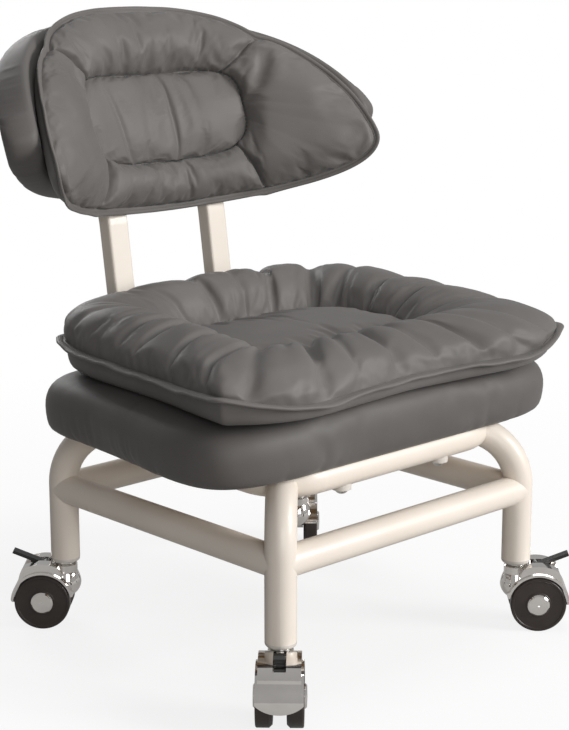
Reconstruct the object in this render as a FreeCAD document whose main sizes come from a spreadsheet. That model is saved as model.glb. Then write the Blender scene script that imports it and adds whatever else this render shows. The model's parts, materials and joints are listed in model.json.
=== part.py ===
import FreeCAD, Part
import math
import os
import re

import Sketcher

# A low chair on four braked twin-wheel casters: a welded frame of round tube, a padded seat with a
# loose cushion on it, and a curved padded back on two reclined uprights.
# The origin is on the floor at the centre of the four legs, +Z is up and the sitter faces -Y.

DIMENSIONS = {
    # Frame of round tube
    "leg_half_x": 140,
    "leg_half_y": 136.5,
    "tube_dia": 25,
    "ring_dia": 25.4,
    "tube_wall": 1.5,
    "weld_gap": 0.2,
    "leg_bottom": 61,
    "leg_bend": 50,
    "stretcher_z": 123,
    "ring_inset": 18,
    "ring_corner": 35,
    "ring_z": 176,
    "cross_y": 10,
    # Back uprights of flat-oval section, bent forward under the seat
    "upright_width": 22,
    "upright_depth": 15,
    "upright_wall": 1.5,
    "upright_corner": 2.5,
    "upright_half": 57,
    "upright_bend": 27.5,
    "upright_front": 30,
    "upright_reach": 130,
    "recline": 8.3,
    "kink_bend": 60,
    "upright_set": 8.1,
    "cap_flange": 2,
    "cap_plug": 9,
    "saddle_gap": 2.5,
    "saddle_dia": 16,
    # Seat
    "board_thick": 12,
    "board_half_front": 182,
    "board_half_rear": 156,
    "board_front": 126,
    "board_rear": 125,
    "board_corner": 36,
    "pad_half_front": 206,
    "pad_half_rear": 178,
    "pad_front": 141,
    "pad_rear": 129,
    "pad_corner": 55,
    "pad_bow": 4,
    "pad_bottom": 183,
    "pad_height": 50,
    "pad_crown": 3,
    "cushion_half_front": 191,
    "cushion_half_rear": 172,
    "cushion_front": 165,
    "cushion_rear": 131,
    "cushion_corner": 40,
    "cushion_drawn": 4,
    "cushion_height": 58,
    "cushion_sink": 27,
    "seam_height": 22,
    "seam_width": 8,
    "seam_thick": 3,
    # Back, curved about a leaning axis in front of it
    "back_base_z": 350,
    "back_tilt": 19,
    "back_radius": 210,
    "back_half": 210,
    "back_height": 192,
    "back_pad_front": 16,
    "back_pad_rear": 47,
    "back_pad_thinner": 4,
    "back_board_thick": 9,
    "back_board_cover": 3.5,
    "back_board_inset": 14,
    "back_nut_set": 33,
    "back_seam_set": 8,
    "back_cushion_puff": 17,
    "back_panel_half": 90,
    "back_roll_top": 42,
    "back_panel_top": 118,
    "back_bolt_low": 40,
    "back_bolt_high": 110,
    # Screws and tee nuts
    "bolt_dia": 6,
    "bolt_hole": 6.6,
    "bolt_head_dia": 11,
    "bolt_head_height": 3.5,
    "tee_flange": 13,
    "tee_flange_thick": 1.4,
    "tee_barrel": 8,
    "tee_length": 7,
    # Casters
    "wheel_dia": 48,
    "wheel_width": 13,
    "wheel_gap": 11,
    "wheel_bore": 6.1,
    "caster_trail": 19,
    "hood_clear": 1.2,
    "hood_wall": 2,
    "hood_width": 37,
    "hump_width": 33,
    "hump_radius": 34,
    "web_thick": 9.6,
    "boss_dia": 20,
    "boss_top": 55.3,
    "boss_bulge": 26,
    "stem_dia": 8,
    "stem_grip_dia": 11,
    "stem_grip": 26,
    "stem_flange_dia": 16,
    "stem_seat": 44,
    "collar_bottom": 57,
    "socket_length": 30,
    "fit_gap": 0.05,
    "axle_dia": 6,
    "axle_length": 32.6,
    "cap_dia": 19,
    "cap_depth": 2,
    "cap_stand": 2.4,
    "lever_width": 9,
    "lever_thick": 2.7,
    "lever_angle": 22,
    "lever_length": 30.5,
    "lever_pivot_x": 2,
    "lever_pivot_z": 30,
    "lever_pin_dia": 3,
    "lever_pin_length": 17,
    "brake_bar_width": 24,
}

# Which way each corner lies: +X is the sitter's left, -Y the front.
CORNERS = {
    "front_left": (1, -1),
    "front_right": (-1, -1),
    "rear_left": (1, 1),
    "rear_right": (-1, 1),
}

doc = FreeCAD.newDocument("rolling_floor_chair")
sheet = doc.addObject("Spreadsheet::Sheet", "Dimensions")
for row, (name, amount) in enumerate(DIMENSIONS.items(), 1):
    sheet.set(f"A{row}", name)
    sheet.set(f"B{row}", str(amount))
    sheet.setAlias(f"B{row}", name)
doc.recompute()

nodes = []
vector = FreeCAD.Vector


def cells(text):
    """An expression with each dimension's name pointed at its cell."""
    return re.sub(
        r"[a-z_]+[a-z]", lambda word: "Dimensions." + word[0] if word[0] in DIMENSIONS else word[0], text
    )


def size(text):
    """The number that an expression of dimension names comes to."""
    return float(sheet.evalExpression(cells(text)))


def bind(item, **properties):
    """Ties properties of an object to expressions; a double underscore stands for a dot."""
    for name, text in properties.items():
        item.setExpression(name.replace("__", "."), cells(text))
    return item


def keep(item, label):
    """Marks an object as a sub-part under its own name."""
    item.Label = label
    nodes.append(item)
    return item


def turn(item, axis, angle):
    item.Placement.Rotation = FreeCAD.Rotation(axis, angle)
    return item


# Sketches


def plane(body, role):
    return next(feature for feature in body.Origin.OriginFeatures if feature.Role == role)


def new_body(name):
    return doc.addObject("PartDesign::Body", name)


def new_sketch(body, role, offset="0"):
    sketch = body.newObject("Sketcher::SketchObject", "Sketch")
    sketch.AttachmentSupport = [(plane(body, role), "")]
    sketch.MapMode = "FlatFace"
    return bind(sketch, AttachmentOffset__Base__z=offset)


def pin(sketch, edge, end, point):
    """Holds an end of a sketch edge at a place given by two expressions."""
    for kind, text in zip(("DistanceX", "DistanceY"), point):
        index = sketch.addConstraint(Sketcher.Constraint(kind, -1, 1, edge, end, size(text)))
        sketch.setExpression(f"Constraints[{index}]", cells(text))


def set_radius(sketch, edge, text):
    index = sketch.addConstraint(Sketcher.Constraint("Radius", edge, size(text)))
    sketch.setExpression(f"Constraints[{index}]", cells(text))


def draw_circle(sketch, point, radius):
    centre = vector(size(point[0]), size(point[1]), 0)
    edge = sketch.addGeometry(Part.Circle(centre, vector(0, 0, 1), size(radius)), False)
    pin(sketch, edge, 3, point)
    set_radius(sketch, edge, radius)


def draw_line(sketch, points, closed=True):
    """A run of lines and arcs. Each point is x, y and, for an arc to the next point, its radius.

    A radius that starts with a minus sign bends the arc to the left of the run, others to the right.
    """
    places = [vector(size(point[0]), size(point[1]), 0) for point in points]
    first = last = None
    for index in range(len(points) if closed else len(points) - 1):
        start, end = places[index], places[(index + 1) % len(points)]
        radius = points[index][2] if len(points[index]) > 2 else None
        if radius is None:
            edge = sketch.addGeometry(Part.LineSegment(start, end), False)
        else:
            amount = size(radius.lstrip("-"))
            chord = end - start
            aside = vector(chord.y, -chord.x, 0).normalize() * (-1 if radius[0] == "-" else 1)
            rise = amount - math.sqrt(max(amount**2 - (chord.Length / 2) ** 2, 0))
            edge = sketch.addGeometry(Part.Arc(start, (start + end) * 0.5 + aside * rise, end), False)
            set_radius(sketch, edge, radius.lstrip("-"))
        near = sorted((1, 2), key=lambda which: (sketch.getPoint(edge, which) - start).Length)
        pin(sketch, edge, near[0], points[index])
        if last:
            sketch.addConstraint(Sketcher.Constraint("Coincident", *last, edge, near[0]))
        first = first or (edge, near[0])
        last = (edge, near[1])
    if closed:
        sketch.addConstraint(Sketcher.Constraint("Coincident", *last, *first))
    else:
        pin(sketch, *last, points[-1])


def rounded_rectangle(half_x, half_y, corner, middle_y="0"):
    """Points of a rectangle with round corners, from the middle of its lower side."""
    low, high = f"{middle_y} - ({half_y})", f"{middle_y} + {half_y}"
    return [
        ("0", low),
        (f"{half_x} - {corner}", low, corner),
        (half_x, f"{low} + {corner}"),
        (half_x, f"{high} - {corner}", corner),
        (f"{half_x} - {corner}", high),
        (f"{corner} - ({half_x})", high, corner),
        (f"-({half_x})", f"{high} - {corner}"),
        (f"-({half_x})", f"{low} + {corner}", corner),
        (f"{corner} - ({half_x})", low),
    ]


def around(radius, angle, centre_x="caster_trail", centre_z="wheel_dia / 2"):
    """A point at an angle on a circle, by default about the axle."""
    return (f"{centre_x} + ({radius}) * cos({angle})", f"{centre_z} + ({radius}) * sin({angle})")


# Features


def pad(body, role, points, length):
    """A profile thickened evenly to both sides of its plane."""
    sketch = new_sketch(body, role)
    draw_line(sketch, points)
    feature = body.newObject("PartDesign::Pad", "Pad")
    feature.Profile = sketch
    feature.Midplane = True
    bind(feature, Length=length)
    doc.recompute()
    return body


def revolve(body, role, points):
    """A profile turned about the upright axis of its plane."""
    sketch = new_sketch(body, role)
    draw_line(sketch, points)
    feature = body.newObject("PartDesign::Revolution", "Revolution")
    feature.Profile = sketch
    feature.ReferenceAxis = (sketch, ["V_Axis"])
    feature.Angle = 360
    doc.recompute()
    return body


def sweep(body, spine, profile):
    """A profile sketch drawn along every edge of a spine sketch."""
    doc.recompute()
    feature = body.newObject("PartDesign::AdditivePipe", "Pipe")
    feature.Profile = profile
    feature.Spine = (spine, [f"Edge{number}" for number in range(1, len(spine.Shape.Edges) + 1)])
    doc.recompute()
    return body


def cylinder(radius, height, axis=None, x="0", y="0", z="0"):
    """A round bar that starts at a point and runs up, or along +X or +Y."""
    bar = bind(doc.addObject("Part::Cylinder", "Cylinder"), Radius=radius, Height=height)
    if axis == "X":
        turn(bar, vector(0, 1, 0), 90)
    if axis == "Y":
        turn(bar, vector(1, 0, 0), -90)
    return bind(bar, Placement__Base__x=x, Placement__Base__y=y, Placement__Base__z=z)


def box(low, high):
    """A block between two corners given by expressions."""
    block = doc.addObject("Part::Box", "Box")
    sides = [f"({top}) - ({bottom})" for bottom, top in zip(low, high)]
    bind(block, Length=sides[0], Width=sides[1], Height=sides[2])
    return bind(block, Placement__Base__x=low[0], Placement__Base__y=low[1], Placement__Base__z=low[2])


def fuse(*items):
    joined = doc.addObject("Part::MultiFuse", "Fuse")
    joined.Shapes = list(items)
    joined.Refine = True
    return joined


def cut(base, *tools):
    """A base less one or more tools."""
    result = doc.addObject("Part::Cut", "Cut")
    result.Base = base
    result.Tool = tools[0] if len(tools) == 1 else fuse(*tools)
    doc.recompute()
    return result


def group(items):
    """Several separate solids in one sub-part."""
    together = doc.addObject("Part::Compound", "Group")
    together.Links = items
    return together


def at_corner(item, corner, outward="0", z="0"):
    """Stands an object at a leg, its own +X pointing out along the seat's diagonal."""
    side, fore = CORNERS[corner]
    turn(item, vector(0, 0, 1), math.degrees(math.atan2(fore, side)))
    bind(
        item,
        Placement__Base__x=f"{side} * (leg_half_x + ({outward}) / sqrt(2))",
        Placement__Base__y=f"{fore} * (leg_half_y + ({outward}) / sqrt(2))",
        Placement__Base__z=z,
    )
    return item


# Tube frame

RING_X = "(leg_half_x - ring_inset)"
RING_Y = "(leg_half_y - ring_inset)"
RING_REACH = "(sqrt(2) * ring_inset + (sqrt(2) - 1) * ring_corner)"
TUBE_RADIUS = "tube_dia / 2"
BORE_RADIUS = "tube_dia / 2 - tube_wall"
RING_RADIUS = "ring_dia / 2"
RING_TOP = "(ring_z + ring_dia / 2)"
BOLT_ROWS = {"front": f"-{RING_Y}", "cross": "-cross_y", "rear": RING_Y}


def ring_bar(radius):
    """The ring under the seat as a solid bar of a given radius."""
    body = new_body("RingBar")
    spine = new_sketch(body, "XY_Plane", "ring_z")
    draw_line(spine, rounded_rectangle(RING_X, RING_Y, "ring_corner"))
    profile = new_sketch(body, "YZ_Plane")
    draw_circle(profile, (f"-{RING_Y}", "ring_z"), radius)
    return sweep(body, spine, profile)


def leg_bar(radius, corner):
    """A leg as a solid bar: straight up from its foot, then bent in along the diagonal."""
    body = new_body("LegBar")
    rise = f"sqrt(leg_bend ^ 2 - (leg_bend - {RING_REACH}) ^ 2)"
    spine = new_sketch(body, "XZ_Plane")
    path = [("0", "leg_bottom"), ("0", f"ring_z - {rise}", "leg_bend"), (f"-{RING_REACH}", "ring_z")]
    draw_line(spine, path, closed=False)
    profile = new_sketch(body, "XY_Plane", "leg_bottom")
    draw_circle(profile, ("0", "0"), radius)
    return at_corner(sweep(body, spine, profile), corner)


def bolt_hole(x, y, z, height):
    return cylinder("bolt_hole / 2", height, x=x, y=y, z=z)


def seat_bolt_holes(rows, z, height):
    """Upright holes for the seat screws, on both sides of the given rows."""
    return [
        bolt_hole(f"{side} * upright_half", BOLT_ROWS[row], z, height) for row in rows for side in (-1, 1)
    ]


ring_solid = ring_bar(RING_RADIUS)
ring_holes = seat_bolt_holes(("front", "rear"), "ring_z - tube_dia", "2 * tube_dia")
keep(cut(ring_solid, ring_bar(f"{RING_RADIUS} - tube_wall"), *ring_holes), "upper_ring")

leg_solids = {}
for corner in CORNERS:
    leg_solids[corner] = leg_bar(TUBE_RADIUS, corner)
    keep(cut(leg_solids[corner], leg_bar(BORE_RADIUS, corner), ring_solid), f"leg_{corner}")


def straight_tube(axis, length, x, y, z):
    outer = cylinder(TUBE_RADIUS, length, axis, x, y, z)
    return cut(outer, cylinder(BORE_RADIUS, length, axis, x, y, z))


cross_rooms = []
for name, fore in (("front", "-1"), ("rear", "1")):
    reach = ("2 * leg_half_x", "X", "-leg_half_x", f"{fore} * leg_half_y", "stretcher_z")
    cross_rooms.append(cylinder(f"{TUBE_RADIUS} + weld_gap", *reach))
    blank = straight_tube("X", "2 * leg_half_x", "-leg_half_x", f"{fore} * leg_half_y", "stretcher_z")
    keep(cut(blank, leg_solids[f"{name}_left"], leg_solids[f"{name}_right"]), f"stretcher_{name}")
for name, side in (("left", "1"), ("right", "-1")):
    blank = straight_tube("Y", "2 * leg_half_y", f"{side} * leg_half_x", "-leg_half_y", "stretcher_z")
    legs = [leg_solids[f"front_{name}"], leg_solids[f"rear_{name}"]]
    keep(cut(blank, *legs, *cross_rooms), f"stretcher_{name}")

cross_blank = straight_tube("X", f"2 * {RING_X}", f"-{RING_X}", "-cross_y", "ring_z")
cross_holes = seat_bolt_holes(("cross",), "ring_z - tube_dia", "2 * tube_dia")
keep(cut(cross_blank, ring_solid, *cross_holes), "seat_cross_tube")

# Back uprights

SHOE_Z = "(ring_z - ring_dia / 2 - saddle_gap - upright_depth / 2)"
LEAN_Y = f"({RING_Y} + ring_dia / 2 + saddle_gap + upright_depth / 2 / cos(recline))"
KNEE_Y = f"({LEAN_Y} - (ring_z - {SHOE_Z}) * tan(recline))"
KNEE_RUN = "(upright_bend * tan(45 - recline / 2))"
CORE_SET = "(upright_set + upright_depth / 2)"
KINK_Z = f"(back_base_z - {CORE_SET} * sin(back_tilt))"
KINK_Y = f"({LEAN_Y} + ({KINK_Z} - ring_z) * tan(recline))"
KINK_RUN = "(kink_bend * tan((back_tilt - recline) / 2))"
BACK_Y = f"({KINK_Y} - {CORE_SET} * cos(back_tilt))"
TOP_Y = f"{KINK_Y} + upright_reach * sin(back_tilt)"
TOP_Z = f"{KINK_Z} + upright_reach * cos(back_tilt)"


def upright_bar(half_width, half_depth, corner, side, extra="0"):
    """An upright as a solid bar: forward shoe, knee, reclined length, and a steeper end inside the back."""
    body = new_body("UprightBar")
    spine = new_sketch(body, "YZ_Plane")
    path = [
        ("-upright_front", SHOE_Z),
        (f"{KNEE_Y} - {KNEE_RUN}", SHOE_Z, "upright_bend"),
        (f"{KNEE_Y} + {KNEE_RUN} * sin(recline)", f"{SHOE_Z} + {KNEE_RUN} * cos(recline)"),
        (f"{KINK_Y} - {KINK_RUN} * sin(recline)", f"{KINK_Z} - {KINK_RUN} * cos(recline)", "-kink_bend"),
        (f"{KINK_Y} + {KINK_RUN} * sin(back_tilt)", f"{KINK_Z} + {KINK_RUN} * cos(back_tilt)"),
        (f"{TOP_Y} + {extra} * sin(back_tilt)", f"{TOP_Z} + {extra} * cos(back_tilt)"),
    ]
    draw_line(spine, path, closed=False)
    profile = new_sketch(body, "XZ_Plane", "upright_front")
    draw_line(profile, rounded_rectangle(half_width, half_depth, corner, SHOE_Z))
    return bind(sweep(body, spine, profile), Placement__Base__x=f"{side} * upright_half")


def lean(item, x, along, out):
    """Points an object's +Z to the rear, square to the back, from a height along it and a depth."""
    turn(item, vector(1, 0, 0), -90 - size("back_tilt"))
    bind(
        item,
        Placement__Base__x=x,
        Placement__Base__y=f"{BACK_Y} + ({along}) * sin(back_tilt) - ({out}) * cos(back_tilt)",
        Placement__Base__z=f"back_base_z + ({along}) * cos(back_tilt) + ({out}) * sin(back_tilt)",
    )
    return item


BACK_SPOTS = [(side, height) for side in (-1, 1) for height in ("back_bolt_low", "back_bolt_high")]


def back_holes(radius, out, length, sides=(-1, 1)):
    """Round bars across the back at its screws, from a depth in front to the rear."""
    return [
        lean(cylinder(radius, length), f"{side} * upright_half", height, out)
        for side, height in BACK_SPOTS
        if side in sides
    ]


upright_solids, upright_rooms = [], []
for name, side in (("left", 1), ("right", -1)):
    solid = upright_bar("upright_width / 2", "upright_depth / 2", "upright_corner", side)
    inner_width, inner_depth = "(upright_width / 2 - upright_wall)", "(upright_depth / 2 - upright_wall)"
    bore = upright_bar(inner_width, inner_depth, "(upright_corner - upright_wall)", side)
    spot, below = f"{side} * upright_half", f"{SHOE_Z} - upright_depth"
    shoe_holes = [bolt_hole(spot, BOLT_ROWS[row], below, "2 * upright_depth") for row in ("cross", "rear")]
    face_holes = back_holes("bolt_hole / 2", "0", "2 * upright_depth", (side,))
    keep(cut(solid, bore, *shoe_holes, *face_holes), f"upright_{name}")
    upright_solids.append(solid)
    room = upright_bar("upright_width / 2", "upright_depth / 2", "upright_corner", side, "cap_flange")
    upright_rooms.append(room)


def plate(points, z, height):
    """A level profile raised from a height."""
    body = new_body("Plate")
    sketch = new_sketch(body, "XY_Plane", z)
    draw_line(sketch, points)
    raised = body.newObject("PartDesign::Pad", "Pad")
    raised.Profile = sketch
    bind(raised, Length=height)
    doc.recompute()
    return body


def end_cap():
    """A flanged plug for an open upright end, its plug pointing along +Z."""
    flange = rounded_rectangle("upright_width / 2", "upright_depth / 2", "upright_corner")
    narrow, shallow = "(upright_width / 2 - upright_wall)", "(upright_depth / 2 - upright_wall)"
    plug = rounded_rectangle(narrow, shallow, "(upright_corner - upright_wall)")
    return fuse(plate(flange, "-cap_flange", "cap_flange"), plate(plug, "0", "cap_plug"))


end_caps = []
for side in (-1, 1):
    spot = f"{side} * upright_half"
    for angle, y, z in ((-90, "-upright_front", SHOE_Z), (180 - size("back_tilt"), TOP_Y, TOP_Z)):
        cap = turn(end_cap(), vector(1, 0, 0), angle)
        end_caps.append(bind(cap, Placement__Base__x=spot, Placement__Base__y=y, Placement__Base__z=z))
keep(group(end_caps), "tube_end_caps")

# Seat screws with their saddles and tee nuts

BOARD_TOP = f"({RING_TOP} + board_thick)"
SADDLE_BASE = "(ring_z - ring_dia / 2 - saddle_gap)"


def saddle(x, y, length_along):
    """A round spacer hollowed to sit against the underside of a rail along X."""
    puck = cylinder("saddle_dia / 2", "saddle_gap + tube_dia / 5", x=x, y=y, z=SADDLE_BASE)
    rail = cylinder(RING_RADIUS, length_along, "X", f"{x} - ({length_along}) / 2", y, "ring_z")
    return cut(puck, rail, bolt_hole(x, y, f"{SADDLE_BASE} - 1", "tube_dia"), *upright_solids)


def screw(length):
    """A button-head screw with a hexagon socket, its shank along +Z from the head's seat."""
    body = revolve(
        new_body("Screw"),
        "XZ_Plane",
        [
            ("0", "-bolt_head_height"),
            ("bolt_head_dia / 4", "-bolt_head_height", "bolt_head_dia / 2"),
            ("bolt_head_dia / 2", "-bolt_head_height / 5"),
            ("bolt_head_dia / 2", "0"),
            ("bolt_dia / 2", "0"),
            ("bolt_dia / 2", f"{length} - bolt_dia / 8"),
            ("bolt_dia * 3 / 8", length),
            ("0", length),
        ],
    )
    sketch = new_sketch(body, "XY_Plane", "-bolt_head_height")
    angles = range(0, 360, 60)
    draw_line(sketch, [(f"bolt_dia / 3 * cos({angle})", f"bolt_dia / 3 * sin({angle})") for angle in angles])
    socket = body.newObject("PartDesign::Pocket", "Socket")
    socket.Profile = sketch
    socket.Reversed = True
    bind(socket, Length="bolt_head_height * 0.6")
    doc.recompute()
    return body


def tee_nut():
    """A tee nut whose flange lies on z = 0 with the barrel below it."""
    return revolve(
        new_body("TeeNut"),
        "XZ_Plane",
        [
            ("bolt_dia / 2 + fit_gap", "-tee_length"),
            ("tee_barrel / 2", "-tee_length"),
            ("tee_barrel / 2", "0"),
            ("tee_flange / 2", "0"),
            ("tee_flange / 2", "tee_flange_thick"),
            ("bolt_dia / 2 + fit_gap", "tee_flange_thick"),
        ],
    )


saddles, seat_screws, tee_nuts = [], [], []
for row, place in BOLT_ROWS.items():
    for side in (-1, 1):
        spot = f"{side} * upright_half"
        head = SADDLE_BASE if row == "front" else f"({SHOE_Z} - upright_depth / 2)"
        saddles.append(saddle(spot, place, "2 * saddle_dia"))
        for item, z in ((screw(f"({BOARD_TOP} - {head})"), head), (tee_nut(), BOARD_TOP)):
            bind(item, Placement__Base__x=spot, Placement__Base__y=place, Placement__Base__z=z)
            (seat_screws if z == head else tee_nuts).append(item)
keep(group(saddles), "saddle_washers")
keep(group(seat_screws), "seat_screws")

# Seat board, pad and cushion


def seat_outline(name, inset, z):
    """A level ring of eight arcs: a trapezoid with round corners and bowed sides, drawn in by an inset."""
    half_front, half_rear = size(f"{name}_half_front") - inset, size(f"{name}_half_rear") - inset
    front, rear = inset - size(f"{name}_front"), size(f"{name}_rear") - inset
    bow = {"board": 0.01, "pad": size("pad_bow"), "cushion": -size("cushion_drawn")}[name]
    radius = max(size(f"{name}_corner") - inset / 2, 12)
    corners = [vector(*spot, z) for spot in
               ((-half_front, front), (half_front, front), (half_rear, rear), (-half_rear, rear))]
    arcs = []
    for index, corner in enumerate(corners):
        back = (corners[index - 1] - corner).normalize()
        ahead = (corners[(index + 1) % 4] - corner).normalize()
        half_angle = back.getAngle(ahead) / 2
        run = radius / math.tan(half_angle)
        inward = (back + ahead).normalize()
        middle = corner + inward * (radius / math.sin(half_angle) - radius)
        arcs.append((corner + back * run, middle, corner + ahead * run))
    edges = []
    for index, (start, middle, end) in enumerate(arcs):
        following = arcs[(index + 1) % 4][0]
        along = following - end
        outward = vector(along.y, -along.x, 0).normalize()
        edges.append(Part.Arc(start, middle, end).toShape())
        edges.append(Part.Arc(end, (end + following) * 0.5 + outward * bow, following).toShape())
    return Part.Wire(edges)


def seat_loft(name, levels):
    return Part.makeLoft([seat_outline(name, inset, z) for inset, z in levels], True, False)


def feature(shape):
    item = doc.addObject("Part::Feature", "Form")
    item.Shape = shape
    return item


board_face = Part.Face(seat_outline("board", 0, size(RING_TOP)))
board_solid = feature(board_face.extrude(vector(0, 0, size("board_thick"))))


def at_screws(radius, height, z):
    """Round bars upright at all six seat screws."""
    return [
        cylinder(radius, height, x=f"{side} * upright_half", y=place, z=z)
        for place in BOLT_ROWS.values()
        for side in (-1, 1)
    ]


barrel_holes = at_screws("tee_barrel / 2 + fit_gap", "2 * board_thick", f"{RING_TOP} - 1")
keep(cut(board_solid, *barrel_holes), "seat_board")

PAD_LOW, PAD_HIGH = size("pad_bottom"), size("pad_bottom + pad_height")
PAD_LEVELS = [
    (10, PAD_LOW),
    (2, PAD_LOW + 7),
    (0, (PAD_LOW + PAD_HIGH) / 2),
    (3, PAD_HIGH - 9),
    (12, PAD_HIGH - 2),
    (34, PAD_HIGH),
    (90, PAD_HIGH + size("pad_crown")),
]
pad_form = feature(seat_loft("pad", PAD_LEVELS))
low_face = Part.Face(seat_outline("board", 0, PAD_LOW - 1))
board_room = feature(low_face.extrude(vector(0, 0, size(BOARD_TOP) - PAD_LOW + 1)))
flange_rooms = at_screws("tee_flange / 2", "tee_flange_thick + 1", f"{BOARD_TOP} - 1")
rail_room = box(
    (f"-{RING_X} - tube_dia", RING_Y, "pad_bottom - 1"),
    (f"{RING_X} + tube_dia", "pad_rear + tube_dia", f"{RING_TOP} + 1"),
)
keep(cut(pad_form, board_room, rail_room, *flange_rooms), "seat_pad")

CUSHION_LOW = PAD_HIGH
SEAM_Z = CUSHION_LOW + size("seam_height")
SEAM_INSET = size("seam_width")
CREST_Z = CUSHION_LOW + size("cushion_height")
PANEL_Z = CREST_Z - size("cushion_sink")
LOWER_LEVELS = [
    (44, CUSHION_LOW),
    (22, CUSHION_LOW + 5),
    (SEAM_INSET + 2, SEAM_Z - 6),
    (SEAM_INSET, SEAM_Z),
]
UPPER_LEVELS = [
    (SEAM_INSET, SEAM_Z),
    (SEAM_INSET + 1, SEAM_Z + 12),
    (SEAM_INSET + 14, CREST_Z - 6),
    (SEAM_INSET + 34, CREST_Z),
    (SEAM_INSET + 56, CREST_Z - 6),
    (SEAM_INSET + 72, PANEL_Z + 1),
    (SEAM_INSET + 92, PANEL_Z),
]
seam_face = Part.Face(seat_outline("cushion", 0, SEAM_Z - size("seam_thick") / 2))
seam_ring = seam_face.extrude(vector(0, 0, size("seam_thick")))
cushion_form = seat_loft("cushion", LOWER_LEVELS).fuse([seat_loft("cushion", UPPER_LEVELS), seam_ring])
keep(cut(feature(cushion_form), pad_form), "seat_cushion")

# Back pad, its board and the back cushion


def back_point(turned, out, height):
    """A point of the curved back: an angle round it, a depth in front of its face and a height along it."""
    radius = size("back_radius") - out
    forward = size("back_radius") - radius * math.cos(turned)
    tilt = math.radians(size("back_tilt"))
    return vector(
        radius * math.sin(turned),
        size(BACK_Y) + height * math.sin(tilt) - forward * math.cos(tilt),
        size("back_base_z") + height * math.cos(tilt) + forward * math.sin(tilt),
    )


def back_span(share, tip, base, top, low_power, inset=0):
    """The lowest and highest point of an outline at a share of its half width."""
    low = tip - (tip - base) * (1 - abs(share) ** low_power) ** 0.5
    high = tip + (top - tip) * (1 - abs(share) ** 2.5) ** 0.72
    return low + inset, high - inset


def section(share, points):
    """A closed wire across the back. Each point is depth, height and how far an arc to the next swells."""
    turned = share * size("back_half / back_radius")
    places = [back_point(turned, out, height) for out, height, _ in points]
    edges = []
    for index, (out, height, swell) in enumerate(points):
        start, end = places[index], places[(index + 1) % len(points)]
        if swell == 0:
            edges.append(Part.LineSegment(start, end).toShape())
            continue
        next_out, next_height, _ = points[(index + 1) % len(points)]
        run = math.hypot(next_out - out, next_height - height)
        middle_out = (out + next_out) / 2 + swell * (next_height - height) / run
        middle_height = (height + next_height) / 2 - swell * (next_out - out) / run
        edges.append(Part.Arc(start, back_point(turned, middle_out, middle_height), end).toShape())
    return Part.Wire(edges)


def slab_section(share, rear, front, corner, low, high):
    """A cross-section with round corners between two depths and two heights."""
    swell = corner * (1 - math.sqrt(0.5))
    return section(
        share,
        [
            (rear + corner, low, 0),
            (front - corner, low, swell),
            (front, low + corner, 0),
            (front, high - corner, swell),
            (front - corner, high, 0),
            (rear + corner, high, swell),
            (rear, high - corner, 0),
            (rear, low + corner, swell),
        ],
    )


def loft_across(make, shares):
    """A solid through cross-sections at shares of the half width to both sides of the middle."""
    both = [-share for share in reversed(shares)] + [0] + list(shares)
    return feature(Part.makeLoft([make(share) for share in both], True, False))


def back_rear(share):
    return -size("back_pad_rear") + size("back_pad_thinner") * share**2


def back_pad_section(share):
    low, high = back_span(share, 60, 12, size("back_height") - 5, 4)
    return slab_section(share, back_rear(share), -size("back_pad_front"), 6, low, high)


def back_board_section(share):
    low, high = back_span(share, 60, 12, size("back_height") - 5, 4, size("back_board_inset"))
    rear = back_rear(share) + size("back_board_cover")
    return slab_section(share, rear, rear + size("back_board_thick"), 1.5, low, high)


back_board_form = loft_across(back_board_section, (0.3, 0.55, 0.75, 0.86))
back_barrels = back_holes("tee_barrel / 2", "0", "2 * back_pad_rear")
back_flanges = back_holes("tee_flange / 2", "-back_nut_set", "back_pad_rear")
keep(cut(back_board_form, *back_barrels, *back_flanges), "back_board")

back_screws = []
for side, height in BACK_SPOTS:
    spot = f"{side} * upright_half"
    tee_nuts.append(lean(tee_nut(), spot, height, "-back_nut_set"))
    back_screws.append(lean(screw("(back_nut_set - upright_set)"), spot, height, "-upright_set"))
keep(group(tee_nuts), "tee_nuts")
keep(group(back_screws), "back_screws")

back_pad_form = loft_across(back_pad_section, (0.3, 0.55, 0.75, 0.88, 0.95, 0.985))
screw_rooms = back_holes("tee_barrel / 2 + 1", "0", "back_nut_set - 2")
channels = []
for side in (-1, 1):
    channel = doc.addObject("Part::Box", "Channel")
    depth = "upright_set + upright_depth + 5.3"
    bind(channel, Length="upright_width + 1", Width="upright_reach + 40", Height=depth)
    edge = f"{side} * upright_half - (upright_width + 1) / 2"
    channels.append(lean(channel, edge, "upright_reach + cap_flange + 0.3", "5"))
keep(cut(back_pad_form, back_board_form, *channels, *screw_rooms), "back_pad")

PANEL_SHARE = size("back_panel_half / back_half")
WING_SHARES = (0.84 * PANEL_SHARE, PANEL_SHARE, 1.16 * PANEL_SHARE, 0.64, 0.78, 0.89, 0.95, 0.985)


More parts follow.
